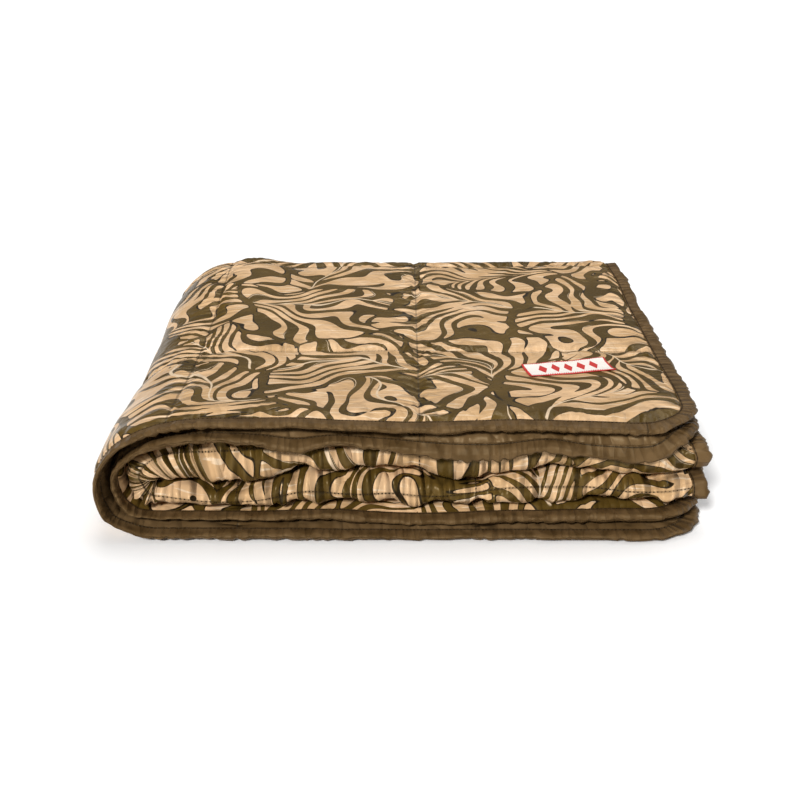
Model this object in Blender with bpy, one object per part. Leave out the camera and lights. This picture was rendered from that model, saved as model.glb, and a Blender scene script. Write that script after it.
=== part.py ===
"""A quilted camp blanket, folded in half three times, with each sewn piece as its own solid.

The blanket is drawn flat first: u runs across its width, v along its length and w through its thickness,
with the printed face at +w. Every piece is a grid or a band in that flat frame, and one fold mapping
carries it to where it lies in the folded blanket. Units are metres, +Z is up, and the origin is at the
centre of the underside.
"""

import bisect
import math

import bmesh
import bpy

# The blanket laid out flat.
SHEET_WIDTH = 1.07
SHEET_LENGTH = 1.91
CORNER_RADIUS = 0.05

# The blanket as folded.
FOLDED_WIDTH = 0.52
FOLDED_DEPTH = 0.465
LAYER_PITCH = 0.0134  # eight layers make the height
CLEARANCE = 0.0003  # air left between neighbouring pieces and between layers
SHOULDER_RUN = 0.058  # how far the top slopes out before the left roll turns down
CREASE_SETBACK = 0.003  # the first crease lies this far behind the bound edges

# The sandwich of cloth and batting.
CLOTH = 0.0006
PUFFED_HALF = LAYER_PITCH / 2 - CLEARANCE / 2
SEWN_HALF = 0.0024
SEAM_SLOPE = 0.02  # the batting swells from sewn to full loft over this distance
BORDER = 0.025  # flat strip along the edge, half of it under the binding

# Quilting seams.
ROW_PITCH = 0.257
ROW_SEAMS = [SHEET_LENGTH / 2 + i * ROW_PITCH for i in range(-3, 4)]
COLUMN_PITCH = 0.21
FIRST_COLUMN = 0.245
COLUMN_SEAMS = [FIRST_COLUMN + i * COLUMN_PITCH for i in range(4)]
THREAD = 0.0004
THREAD_WIDTH = 0.0008
SEAM_END = 0.016  # quilting seams stop here, just inside the binding

# The binding tape.
TAPE = 0.0006
TAPE_COVER = 0.0115  # how far the tape reaches in over each face
TAPE_SEAM = 0.0098

# The woven label.
LABEL_CENTRE = (0.102, 0.132)
LABEL_SIZE = (0.083, 0.033)
LABEL_TURN = math.radians(-11)
LABEL_THICKNESS = 0.0005
LABEL_SEAM = 0.002

# Steps round each bend, even so that one station falls on the crease.
OUTER_STEPS = 6
CREASE_STEPS = 4
SHOULDER_STEPS = 5
UNDER_STEPS = 4

OVERHANG = CLEARANCE + TAPE  # the binding stands this far outside the cloth's edge
FRONT = -FOLDED_DEPTH / 2 + OVERHANG
BACK_CENTRE = FOLDED_DEPTH / 2 - 2 * LAYER_PITCH + CLEARANCE / 2
CREASE_CENTRE = FRONT + LAYER_PITCH + CREASE_SETBACK
RIGHT = FOLDED_WIDTH / 2 - OVERHANG
ROLL_CENTRE = -FOLDED_WIDTH / 2 + 4 * LAYER_PITCH - CLEARANCE / 2
MIDDLE_HEIGHT = 4 * LAYER_PITCH - CLEARANCE / 2


def straight(start, end, height, side):
    """One layer lying flat from y=start to y=end. side is +1 where its printed face is up."""

    def place(share):
        return start + (end - start) * share, height, 0.0, side

    return abs(end - start), place


def bend(centre, height, radius, first, last, side):
    """A half turn about (centre, height) from one angle to another. side is +1 with the print outside."""

    def place(share):
        angle = first + (last - first) * share
        out, up = math.cos(angle), math.sin(angle)
        return centre + radius * out, height + radius * up, side * out, side * up

    return math.pi * radius, place


def depth_path():
    """The blanket's run from front to back, as (first v, last v, place) pieces."""
    t = LAYER_PITCH
    half = math.pi / 2
    outer = [
        straight(FRONT, BACK_CENTRE, 3.5 * t, 1),
        bend(BACK_CENTRE, 2 * t, 1.5 * t, half, -half, 1),
        straight(BACK_CENTRE, CREASE_CENTRE, 0.5 * t, -1),
    ]
    inner = [
        straight(CREASE_CENTRE, BACK_CENTRE, 1.5 * t, 1),
        bend(BACK_CENTRE, 2 * t, 0.5 * t, -half, half, -1),
        straight(BACK_CENTRE, FRONT, 2.5 * t, -1),
    ]
    crease = bend(CREASE_CENTRE, t, 0.5 * t, -half, -3 * half, 1)
    crease_half = crease[0] / 2
    outer_scale = SHEET_LENGTH / 2 / (sum(length for length, _ in outer) + crease_half)
    inner_scale = SHEET_LENGTH / 2 / (sum(length for length, _ in inner) + crease_half)
    pieces = []
    v = 0.0
    for length, place in outer:
        pieces.append((v, v + length * outer_scale, place))
        v += length * outer_scale
    crease_end = SHEET_LENGTH / 2 + crease_half * inner_scale
    pieces.append((v, crease_end, crease[1]))
    v = crease_end
    for length, place in inner:
        pieces.append((v, v + length * inner_scale, place))
        v += length * inner_scale
    return pieces


DEPTH_PATH = depth_path()
DEPTH_STARTS = [piece[0] for piece in DEPTH_PATH]


def fold_in_depth(v, w):
    """Where a point of the sheet lies once its length is folded in four: y, and height in the stack."""
    index = max(0, min(bisect.bisect_right(DEPTH_STARTS, v) - 1, len(DEPTH_PATH) - 1))
    first, last, place = DEPTH_PATH[index]
    y, height, out, up = place((v - first) / (last - first))
    return y + w * out, height + w * up


OUTER_HEIGHT = 3.5 * LAYER_PITCH
SHOULDER_ARC = math.pi / 2 * math.hypot(OUTER_HEIGHT + SHOULDER_RUN, OUTER_HEIGHT) / math.sqrt(2)
UNDER_ARC = math.pi / 2 * OUTER_HEIGHT
TOP_LENGTH = RIGHT - ROLL_CENTRE - SHOULDER_RUN
UNDER_LENGTH = RIGHT - ROLL_CENTRE
WIDTH_SCALE = SHEET_WIDTH / (TOP_LENGTH + SHOULDER_ARC + UNDER_ARC + UNDER_LENGTH)
SHOULDER_START = TOP_LENGTH * WIDTH_SCALE
ROLL_MIDDLE = SHOULDER_START + SHOULDER_ARC * WIDTH_SCALE
UNDER_START = ROLL_MIDDLE + UNDER_ARC * WIDTH_SCALE


def fold_in_width(u, height):
    """Where a column of the sheet lies once the stack is folded round the left roll: x and z."""
    if u <= SHOULDER_START:
        return RIGHT - u / WIDTH_SCALE, MIDDLE_HEIGHT + height
    if u <= ROLL_MIDDLE:
        angle = math.pi / 2 * (u - SHOULDER_START) / (ROLL_MIDDLE - SHOULDER_START)
        x = ROLL_CENTRE + SHOULDER_RUN - (height + SHOULDER_RUN) * math.sin(angle)
        return x, MIDDLE_HEIGHT + height * math.cos(angle)
    if u <= UNDER_START:
        angle = math.pi / 2 * (u - ROLL_MIDDLE) / (UNDER_START - ROLL_MIDDLE)
        x = ROLL_CENTRE - height * math.cos(angle)
        return x, MIDDLE_HEIGHT - height * math.sin(angle)
    return ROLL_CENTRE + (u - UNDER_START) / WIDTH_SCALE, MIDDLE_HEIGHT - height


def folded(u, v, w):
    y, height = fold_in_depth(v, w)
    x, z = fold_in_width(u, height)
    return x, y, z


def steps(first, last, count):
    return [first + (last - first) * i / count for i in range(count + 1)]


def stations(length, seams, bends):
    """Grid lines along one side of the sheet: at its border, at each seam's slopes and round each bend."""
    kept = []
    wanted = list(seams)
    for first, last, count in bends:
        wanted += steps(first, last, count)
    for seam in seams:
        wanted += [seam - SEAM_SLOPE, seam + SEAM_SLOPE]
    wanted += [0.0, BORDER, CORNER_RADIUS]
    wanted += [length, length - BORDER, length - CORNER_RADIUS]
    least = 0.004
    for value in wanted:
        in_bend = any(first < value < last for first, last, _ in bends)
        slope_in_bend = in_bend and any(math.isclose(abs(value - s), SEAM_SLOPE) for s in seams)
        if not slope_in_bend and all(abs(value - other) > least for other in kept):
            kept.append(value)
    return sorted(kept)


U_STATIONS = stations(
    SHEET_WIDTH,
    COLUMN_SEAMS,
    [(SHOULDER_START, ROLL_MIDDLE, SHOULDER_STEPS), (ROLL_MIDDLE, UNDER_START, UNDER_STEPS)],
)
V_STATIONS = stations(
    SHEET_LENGTH,
    ROW_SEAMS,
    [
        (*DEPTH_PATH[1][:2], OUTER_STEPS),
        (*DEPTH_PATH[3][:2], CREASE_STEPS),
        (*DEPTH_PATH[5][:2], CREASE_STEPS),
    ],
)


def rounded(u, v):
    """Moves a point of the rectangle so that the sheet's four corners come out round."""
    centre_u = min(max(u, CORNER_RADIUS), SHEET_WIDTH - CORNER_RADIUS)
    centre_v = min(max(v, CORNER_RADIUS), SHEET_LENGTH - CORNER_RADIUS)
    across, along = u - centre_u, v - centre_v
    reach = math.hypot(across, along)
    if across == 0 or along == 0:
        return u, v
    scale = max(abs(across), abs(along)) / reach
    return centre_u + across * scale, centre_v + along * scale


def loft(u, v):
    """Half the sandwich's thickness, from its flat border and seams to its full swell."""
    edge = min(u, SHEET_WIDTH - u, v, SHEET_LENGTH - v)
    row = min(abs(v - seam) for seam in ROW_SEAMS)
    column = min(abs(u - seam) for seam in COLUMN_SEAMS)
    from_edge = (edge - BORDER) / (CORNER_RADIUS - BORDER)
    share = min(from_edge, row / SEAM_SLOPE, column / SEAM_SLOPE, 1.0)
    return SEWN_HALF + (PUFFED_HALF - SEWN_HALF) * max(0.0, share)


def material(name, colour, roughness):
    made = bpy.data.materials.new(name)
    made.use_nodes = True
    shader = made.node_tree.nodes["Principled BSDF"]
    shader.inputs["Base Color"].default_value = (*colour, 1.0)
    shader.inputs["Roughness"].default_value = roughness
    shader.inputs["Metallic"].default_value = 0.0
    made.diffuse_color = (*colour, 1.0)
    return made


def finish(bm, name, collection, look):
    """Makes an object of a mesh whose outside is to face out."""
    bmesh.ops.recalc_face_normals(bm, faces=bm.faces)
    mesh = bpy.data.meshes.new(name)
    bm.to_mesh(mesh)
    bm.free()
    mesh.shade_smooth()
    mesh.set_sharp_from_angle(angle=math.radians(40))
    mesh.materials.append(look)
    made = bpy.data.objects.new(name, mesh)
    collection.objects.link(made)
    return made


def flat_grid(across, along):
    """A grid with whole-number coordinates, and the same diagonal in every cell."""
    bm = bmesh.new()
    bmesh.ops.create_grid(bm, x_segments=across, y_segments=along, size=1.0)
    for vert in bm.verts:
        vert.co.x = round((vert.co.x + 1) / 2 * across)
        vert.co.y = round((vert.co.y + 1) / 2 * along)
    bmesh.ops.triangulate(bm, faces=bm.faces, quad_method="FIXED")
    return bm


def cloth_layer(name, collection, look, low, high):
    """One layer of the sandwich. low and high turn the sandwich's half thickness into w."""
    bm = flat_grid(len(U_STATIONS) - 1, len(V_STATIONS) - 1)
    lower = list(bm.verts)
    extruded = bmesh.ops.extrude_face_region(bm, geom=bm.faces[:])["geom"]
    upper = [item for item in extruded if isinstance(item, bmesh.types.BMVert)]
    for verts, side in ((lower, low), (upper, high)):
        for vert in verts:
            u = U_STATIONS[round(vert.co.x)]
            v = V_STATIONS[round(vert.co.y)]
            vert.co = folded(*rounded(u, v), side(loft(u, v)))
    return finish(bm, name, collection, look)


def band(name, collection, look, route, section, closed):
    """A ribbon with the given section, swept along a route of (u, v, side u, side v) points."""
    bm = flat_grid(len(section), len(route) - 1 + closed)
    for vert in bm.verts:
        u, v, side_u, side_v = route[round(vert.co.y) % len(route)]
        offset, w = section[round(vert.co.x) % len(section)]
        vert.co = folded(u + side_u * offset, v + side_v * offset, w)
    bmesh.ops.remove_doubles(bm, verts=bm.verts, dist=1e-6)
    if not closed:
        bmesh.ops.holes_fill(bm, edges=bm.edges, sides=len(section))
    return finish(bm, name, collection, look)


def thread_section(face, level, offset=0.0):
    """A triangular strand lying on one face (+1 printed, -1 lining) at a height above the middle."""
    half = THREAD_WIDTH / 2
    return [
        (offset - half, face * level),
        (offset + half, face * level),
        (offset, face * (level + THREAD)),
    ]


def edge_route():
    """The sheet's outline with the direction inwards, through the grid's own edge points."""
    outline = [(u, 0.0) for u in U_STATIONS]
    outline += [(SHEET_WIDTH, v) for v in V_STATIONS[1:]]
    outline += [(u, SHEET_LENGTH) for u in reversed(U_STATIONS[:-1])]
    outline += [(0.0, v) for v in reversed(V_STATIONS[1:-1])]
    route = []
    for u, v in outline:
        u, v = rounded(u, v)
        centre_u = min(max(u, CORNER_RADIUS), SHEET_WIDTH - CORNER_RADIUS)
        centre_v = min(max(v, CORNER_RADIUS), SHEET_LENGTH - CORNER_RADIUS)
        reach = math.hypot(centre_u - u, centre_v - v)
        route.append((u, v, (centre_u - u) / reach, (centre_v - v) / reach))
    return route


def binding_section():
    """The tape folded over the edge, as offsets inwards and heights."""
    inner = SEWN_HALF + CLEARANCE
    outer = inner + TAPE
    return [
        (TAPE_COVER, outer),
        (-OVERHANG, outer),
        (-OVERHANG, -outer),
        (TAPE_COVER, -outer),
        (TAPE_COVER, -inner),
        (-CLEARANCE, -inner),
        (-CLEARANCE, inner),
        (TAPE_COVER, inner),
    ]


def seam_stops(line, length):
    """The grid lines that a quilting seam crosses, with its two ends just inside the binding."""
    return [SEAM_END] + [s for s in line if BORDER <= s <= length - BORDER] + [length - SEAM_END]


def quilting(collection, needle, bobbin):
    """Each quilting seam's two threads. Columns pass over rows, so they lie one thread higher."""
    low = SEWN_HALF + CLEARANCE
    high = low + THREAD + CLEARANCE
    rows = [[(u, seam, 0.0, 1.0) for u in seam_stops(U_STATIONS, SHEET_WIDTH)] for seam in ROW_SEAMS]
    columns = [[(seam, v, 1.0, 0.0) for v in seam_stops(V_STATIONS, SHEET_LENGTH)] for seam in COLUMN_SEAMS]
    for word, routes, level in (("row", rows, low), ("column", columns, high)):
        for number, route in enumerate(routes, 1):
            for kind, face, look in (("needle", 1, needle), ("bobbin", -1, bobbin)):
                name = f"quilting_{word}_{number}_{kind}_thread"
                band(name, collection, look, route, thread_section(face, level), closed=False)


def binding(collection, tape, needle, bobbin):
    route = edge_route()
    band("edge_binding", collection, tape, route, binding_section(), closed=True)
    level = SEWN_HALF + CLEARANCE + TAPE + CLEARANCE
    for kind, face, look in (("needle", 1, needle), ("bobbin", -1, bobbin)):
        section = thread_section(face, level, TAPE_SEAM)
        band(f"binding_{kind}_thread", collection, look, route, section, closed=True)


def label_route(inset):
    """The label's outline at an inset from its edge, turned a little on the blanket."""
    half_u, half_v = LABEL_SIZE[0] / 2 - inset, LABEL_SIZE[1] / 2 - inset
    cos, sin = math.cos(LABEL_TURN), math.sin(LABEL_TURN)
    route = []
    for across, along in ((-1, -1), (1, -1), (1, 1), (-1, 1)):
        a, b = across * half_u, along * half_v
        u = LABEL_CENTRE[0] + a * cos - b * sin
        v = LABEL_CENTRE[1] + a * sin + b * cos
        side_u = -across * cos + along * sin
        side_v = -across * sin - along * cos
        route.append((u, v, side_u, side_v))
    return route


def label(collection, woven, thread):
    """The label is a thin block sewn down by one stitched rectangle just inside its edge."""
    low = PUFFED_HALF + CLEARANCE
    bm = bmesh.new()
    bmesh.ops.create_cube(bm, size=1.0)
    cos, sin = math.cos(LABEL_TURN), math.sin(LABEL_TURN)
    for vert in bm.verts:
        a, b = vert.co.x * LABEL_SIZE[0], vert.co.y * LABEL_SIZE[1]
        u = LABEL_CENTRE[0] + a * cos - b * sin
        v = LABEL_CENTRE[1] + a * sin + b * cos
        vert.co = folded(u, v, low + (vert.co.z + 0.5) * LABEL_THICKNESS)
    finish(bm, "woven_label", collection, woven)
    section = thread_section(1, low + LABEL_THICKNESS + CLEARANCE)
    band("label_thread", collection, thread, label_route(LABEL_SEAM), section, closed=True)


def main():
    for old in list(bpy.data.objects):
        bpy.data.objects.remove(old)
    blanket = bpy.data.collections.new("camp_blanket")
    bpy.context.scene.collection.children.link(blanket)

    print_cloth = material("printed_polyester", (0.36, 0.26, 0.15), 0.45)
    lining_cloth = material("brown_polyester", (0.085, 0.06, 0.035), 0.6)
    batting = material("polyester_batting", (0.8, 0.8, 0.78), 0.95)
    tape = material("brown_binding_tape", (0.075, 0.053, 0.03), 0.65)
    dark_thread = material("dark_thread", (0.03, 0.022, 0.014), 0.7)
    brown_thread = material("brown_thread", (0.07, 0.05, 0.03), 0.7)
    label_weave = material("white_woven_label", (0.8, 0.77, 0.72), 0.7)
    red_thread = material("red_thread", (0.5, 0.03, 0.03), 0.7)

    inset = CLOTH + CLEARANCE
    cloth_layer("printed_shell", blanket, print_cloth, lambda half: half - CLOTH, lambda half: half)
    cloth_layer("insulation", blanket, batting, lambda half: inset - half, lambda half: half - inset)
    cloth_layer("lining", blanket, lining_cloth, lambda half: -half, lambda half: CLOTH - half)
    binding(blanket, tape, dark_thread, brown_thread)
    quilting(blanket, dark_thread, brown_thread)
    label(blanket, label_weave, red_thread)


main()
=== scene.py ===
"""How the folded camp blanket looks: cloth, ruffled binding, stitches, label, materials and stage.

Every piece is first laid out flat, with u across the blanket's width, v along its length and w through its
thickness, the printed face at +w. One mapping folds it in four along its length and in half round the left
roll, and gentle warps then settle the stack as cloth lies. Sizes are metres.
"""

import math

import bpy
import numpy as np
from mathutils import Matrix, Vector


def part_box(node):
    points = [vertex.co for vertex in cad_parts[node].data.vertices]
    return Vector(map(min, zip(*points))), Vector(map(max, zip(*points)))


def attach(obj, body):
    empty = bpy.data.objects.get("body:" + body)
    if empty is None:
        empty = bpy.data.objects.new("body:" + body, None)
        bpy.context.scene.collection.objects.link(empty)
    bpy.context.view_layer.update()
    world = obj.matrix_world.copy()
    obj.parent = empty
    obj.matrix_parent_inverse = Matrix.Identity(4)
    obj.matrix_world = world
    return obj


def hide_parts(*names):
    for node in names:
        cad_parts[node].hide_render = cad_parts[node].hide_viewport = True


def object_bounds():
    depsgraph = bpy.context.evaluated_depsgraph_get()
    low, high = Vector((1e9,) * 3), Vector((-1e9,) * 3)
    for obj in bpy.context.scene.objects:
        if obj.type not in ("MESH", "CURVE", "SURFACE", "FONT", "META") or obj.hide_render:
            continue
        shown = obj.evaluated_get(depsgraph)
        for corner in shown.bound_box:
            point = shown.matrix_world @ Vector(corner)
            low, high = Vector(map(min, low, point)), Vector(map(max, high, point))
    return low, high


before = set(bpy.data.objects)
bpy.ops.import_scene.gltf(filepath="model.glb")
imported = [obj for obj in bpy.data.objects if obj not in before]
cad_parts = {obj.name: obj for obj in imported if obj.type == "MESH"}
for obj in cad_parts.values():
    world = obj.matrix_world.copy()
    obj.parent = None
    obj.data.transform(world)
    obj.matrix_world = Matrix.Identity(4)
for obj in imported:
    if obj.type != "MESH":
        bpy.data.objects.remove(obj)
CAD_LOW, CAD_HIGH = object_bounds()

# The frame's own sizes.
SHELL_LOW, SHELL_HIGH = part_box("printed_shell")
BINDING_LOW, BINDING_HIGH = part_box("edge_binding")
CLEARANCE = 0.0003
LAYER_PITCH = (SHELL_HIGH[2] - SHELL_LOW[2] + CLEARANCE) / 8
MIDDLE_HEIGHT = 4 * LAYER_PITCH - CLEARANCE / 2
OVERHANG = 0.0009
FRONT = BINDING_LOW[1] + OVERHANG
RIGHT = BINDING_HIGH[0] - OVERHANG
BACK_CENTRE = SHELL_HIGH[1] - 2 * LAYER_PITCH
ROLL_CENTRE = SHELL_LOW[0] + 4 * LAYER_PITCH

# The blanket laid flat.
SHEET_WIDTH = 1.07
SHEET_LENGTH = 1.91
MIDDLE_CREASE = SHEET_LENGTH / 2
CORNER_RADIUS = 0.05
SHOULDER_RUN = 0.058
CREASE_CENTRE = FRONT + LAYER_PITCH + 0.003
ROW_PITCH = 0.257
ROW_SEAMS = [MIDDLE_CREASE + i * ROW_PITCH for i in range(-3, 4)]
COLUMN_PITCH = 0.21
FIRST_COLUMN = 0.245
COLUMN_SEAMS = [FIRST_COLUMN + i * COLUMN_PITCH for i in range(4)]
BATTING_INSET = 0.015
TAPE_COVER = 0.0125
TAPE_SEAM = 0.0110
TAPE_GATHER = 0.009

# How far each cloth stands from the sheet's middle: on a seam, in a full puff and at the least, and how much
# less it is under the tape.
SEWN_HALF = 0.0017
PUFFED_HALF = LAYER_PITCH / 2 - CLEARANCE / 2
LEAST_LEVEL = 0.0013
TAPE_PRESS = 0.0004


# ---------------------------------------------------------------- numbers


def smooth(value):
    value = np.clip(value, 0.0, 1.0)
    return value * value * (3 - 2 * value)


def noise(x, y, seed):
    """Smooth noise from -1 to 1 on a lattice of whole numbers."""
    table = np.random.default_rng(seed).uniform(-1, 1, (256, 256))
    x, y = np.broadcast_arrays(x, y)
    column, row = np.floor(x).astype(int), np.floor(y).astype(int)
    across, along = smooth(x - column), smooth(y - row)
    column, row = column % 256, row % 256
    next_column, next_row = (column + 1) % 256, (row + 1) % 256
    low = table[column, row] * (1 - across) + table[next_column, row] * across
    high = table[column, next_row] * (1 - across) + table[next_column, next_row] * across
    return low * (1 - along) + high * along


def curve(points, value, spread=0.012):
    """A soft curve through listed (place, height) points."""
    places, heights = np.array(points, float).T
    step = 0.001
    fine = np.arange(places[0] - 0.05, places[-1] + 0.05, step)
    drawn = np.interp(fine, places, heights)
    reach = int(3 * spread / step)
    window = np.exp(-0.5 * (np.arange(-reach, reach + 1) * step / spread) ** 2)
    padded = np.pad(drawn, reach, mode="edge")
    softened = np.convolve(padded, window / window.sum(), mode="valid")
    return np.interp(value, fine, softened)


# ---------------------------------------------------------------- folding


def depth_pieces():
    """The run of the cloth from front to back and round its creases: (length, bend or straight values)."""
    t, half = LAYER_PITCH, math.pi / 2
    outer = [
        (BACK_CENTRE - FRONT, ("straight", FRONT, BACK_CENTRE, 3.5 * t, 1)),
        (1.5 * math.pi * t, ("bend", BACK_CENTRE, 2 * t, 1.5 * t, half, -half, 1)),
        (BACK_CENTRE - CREASE_CENTRE, ("straight", BACK_CENTRE, CREASE_CENTRE, 0.5 * t, -1)),
    ]
    crease = (0.5 * math.pi * t, ("bend", CREASE_CENTRE, t, 0.5 * t, -half, -3 * half, 1))
    inner = [
        (BACK_CENTRE - CREASE_CENTRE, ("straight", CREASE_CENTRE, BACK_CENTRE, 1.5 * t, 1)),
        (0.5 * math.pi * t, ("bend", BACK_CENTRE, 2 * t, 0.5 * t, -half, half, -1)),
        (BACK_CENTRE - FRONT, ("straight", BACK_CENTRE, FRONT, 2.5 * t, -1)),
    ]
    outer_scale = MIDDLE_CREASE / (sum(p[0] for p in outer) + crease[0] / 2)
    inner_scale = MIDDLE_CREASE / (sum(p[0] for p in inner) + crease[0] / 2)
    lengths = [p[0] * outer_scale for p in outer]
    lengths.append(crease[0] / 2 * (outer_scale + inner_scale))
    lengths += [p[0] * inner_scale for p in inner]
    return lengths, [p[1] for p in outer + [crease] + inner]


PIECE_LENGTHS, PIECES = depth_pieces()
PIECE_ENDS = np.cumsum(PIECE_LENGTHS)
PIECE_STARTS = PIECE_ENDS - PIECE_LENGTHS


def fold_in_depth(v, w):
    """y and the height in the stack, once the length is folded in four."""
    y, height = np.zeros_like(v), np.zeros_like(v)
    index = np.clip(np.searchsorted(PIECE_ENDS, v), 0, len(PIECES) - 1)
    for number, piece in enumerate(PIECES):
        here = index == number
        share = (v[here] - PIECE_STARTS[number]) / PIECE_LENGTHS[number]
        if piece[0] == "straight":
            _, start, end, level, side = piece
            y[here] = start + (end - start) * share
            height[here] = level + w[here] * side
        else:
            _, centre, level, radius, first, last, side = piece
            angle = first + (last - first) * share
            reach = radius + w[here] * side
            y[here] = centre + reach * np.cos(angle)
            height[here] = level + reach * np.sin(angle)
    return y, height


def shoulder_angles():
    """How far round the shoulder's quarter turn each share of its length comes."""
    angle = np.linspace(0, math.pi / 2, 200)
    level = 3.5 * LAYER_PITCH
    speed = np.hypot((level + SHOULDER_RUN) * np.cos(angle), level * np.sin(angle))
    length = np.concatenate([[0], np.cumsum((speed[1:] + speed[:-1]) / 2 * np.diff(angle))])
    return angle, length


SHOULDER_ANGLE, SHOULDER_LENGTH = shoulder_angles()
TOP_LENGTH = RIGHT - ROLL_CENTRE - SHOULDER_RUN
UNDER_ARC = math.pi / 2 * 3.5 * LAYER_PITCH
WIDTH_SCALE = SHEET_WIDTH / (TOP_LENGTH + SHOULDER_LENGTH[-1] + UNDER_ARC + RIGHT - ROLL_CENTRE)
SHOULDER_START = TOP_LENGTH * WIDTH_SCALE
ROLL_MIDDLE = SHOULDER_START + SHOULDER_LENGTH[-1] * WIDTH_SCALE
UNDER_START = ROLL_MIDDLE + UNDER_ARC * WIDTH_SCALE


def fold_in_width(u, height):
    """x and z, once the stack is folded round the left roll."""
    turned = np.interp((u - SHOULDER_START) / WIDTH_SCALE, SHOULDER_LENGTH, SHOULDER_ANGLE)
    under = np.clip((u - ROLL_MIDDLE) / (UNDER_START - ROLL_MIDDLE), 0, 1) * math.pi / 2
    top = u <= SHOULDER_START
    shoulder = u <= ROLL_MIDDLE
    roll = u <= UNDER_START
    x = np.select(
        [top, shoulder, roll],
        [
            RIGHT - u / WIDTH_SCALE,
            ROLL_CENTRE + SHOULDER_RUN - (height + SHOULDER_RUN) * np.sin(turned),
            ROLL_CENTRE - height * np.cos(under),
        ],
        ROLL_CENTRE + (u - UNDER_START) / WIDTH_SCALE,
    )
    turn = np.where(shoulder, turned, math.pi / 2 + under)
    return x, MIDDLE_HEIGHT + height * np.cos(np.where(top, 0.0, turn))


# ---------------------------------------------------------------- settling

# Heights of the layers' borders at the front, as offsets from even layers, against x.
BORDER_LEVELS = [0, 1, 2, 4, 6, 7, 8]
BORDER_OFFSETS = [
    [(-0.26, 0.0), (0.26, 0.0)],
    [(-0.26, 0.0), (-0.1, -0.002), (0.0, -0.004), (0.26, -0.003)],
    [
        (-0.26, -0.006), (-0.2, -0.006), (-0.12, -0.006), (-0.07, -0.002), (0.0, -0.005),
        (0.1, -0.002), (0.26, 0.001),
    ],
    [
        (-0.26, -0.002), (-0.21, -0.004), (-0.17, -0.015), (-0.125, -0.011), (-0.085, 0.006),
        (-0.05, 0.001), (-0.01, 0.010), (0.03, -0.007), (0.08, -0.003), (0.127, 0.006),
        (0.164, 0.008), (0.195, -0.003), (0.237, -0.005), (0.264, 0.003),
    ],
    [
        (-0.26, 0.0), (-0.21, 0.007), (-0.14, 0.008), (-0.09, 0.003), (-0.06, 0.008),
        (-0.02, 0.007), (0.02, 0.004), (0.08, 0.004), (0.125, 0.007), (0.15, 0.004),
        (0.2, 0.002), (0.26, 0.006),
    ],
    [(-0.26, 0.0), (-0.21, 0.006), (-0.1, 0.006), (0.0, 0.005), (0.1, 0.004), (0.26, 0.004)],
    [(-0.26, 0.0), (-0.2, 0.005), (-0.1, 0.005), (0.1, 0.004), (0.26, 0.002)],
]
SETTLE_REACH = 0.12

# How far the loose right end comes out at each height, and the wander of its edge.
SIDEWAYS_LEVELS = [0.0, 0.02, 0.034, 0.045, 0.068, 0.08, 0.092, 0.107]
SIDEWAYS = [0.010, 0.010, 0.009, 0.010, 0.011, 0.006, 0.001, 0.001]
SIDEWAYS_WANDER = 0.0025
SIDE_REACH = 0.12
BACK_NARROWING = 0.007

# How far the roll slips out to the left, and how much fuller the stack is at the back and by the roll.
ROLL_FRONT_SLIP = 0.014
ROLL_BACK_SLIP = 0.005
SLIP_REACH = 0.3
BACK_RISE = 0.075
SHOULDER_RISE = 0.09
TOP_SWELL = 0.0016
FRONT_WANDER = 0.0022


def settle(x, y, z):
    """Warps the even stack as soft layers settle: uneven heights, a fuller back and a loose right end."""
    near_front = smooth(1 - (y - FRONT) / SETTLE_REACH)
    old = [level * LAYER_PITCH for level in BORDER_LEVELS]
    new = [curve(points, x) for points in BORDER_OFFSETS]
    lift = new[0]
    for k in range(len(old) - 1):
        share = np.clip((z - old[k]) / (old[k + 1] - old[k]), 0, 1)
        lift = lift + (new[k + 1] - new[k]) * share
    near_back = smooth((y + 0.05) / 0.24)
    near_roll = smooth((-0.11 - x) / 0.08)
    rise = z * (BACK_RISE * near_back + SHOULDER_RISE * near_roll * near_back)
    near_right = smooth((x - RIGHT + SIDE_REACH) / SIDE_REACH)
    sideways = np.interp(z, SIDEWAYS_LEVELS, SIDEWAYS) + SIDEWAYS_WANDER * noise(y / 0.07, z / 0.016, 12)
    slip = ROLL_BACK_SLIP + (ROLL_FRONT_SLIP - ROLL_BACK_SLIP) * smooth(1 - (y - FRONT) / SLIP_REACH)
    near_left = smooth((-SIDE_REACH - x) / SIDE_REACH)
    swell = TOP_SWELL * noise(x / 0.09, y / 0.09, 13) * smooth(z / 0.06)
    forward = FRONT_WANDER * near_front * noise(x / 0.05, z / 0.02, 11)
    sideways = sideways - BACK_NARROWING * smooth((y + 0.1) / 0.3)
    return x + near_right * sideways - near_left * slip, y - forward, z + near_front * lift + rise + swell


# How steeply each layer's bound front edge hangs, in degrees against x.
TOP_EDGE_HANG = [(-0.28, 2), (-0.2, 3), (-0.15, 4), (-0.05, 6), (0.05, 8), (0.12, 9), (0.18, 13), (0.25, 18)]
SECOND_EDGE_HANG = [
    (-0.28, 2), (-0.2, 10), (-0.12, 20), (-0.09, 46), (-0.07, 18),
    (-0.03, 26), (0.02, 44), (0.09, 58), (0.125, 20), (0.15, 52),
    (0.2, 66), (0.235, 48), (0.26, 24),
]
THIRD_EDGE_HANG = [(-0.28, 0), (-0.2, 2), (-0.1, 4), (-0.03, 10), (0.03, 20), (0.08, 8), (0.15, 3), (0.26, 3)]
LOWEST_EDGE_HANG = [(-0.28, 0), (-0.15, 3), (0.26, 4)]
LEAST_HANG = 0.5
HANG_WANDER = 6

# The sheet's end strips hang. Each starts to bend down this far from the front, over the length of the bend.
BOUND_STRIP = 0.2
FIRST_HANG_REACH = 0.020
LAST_HANG_REACH = 0.022
HANG_BEND = 0.012

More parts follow.
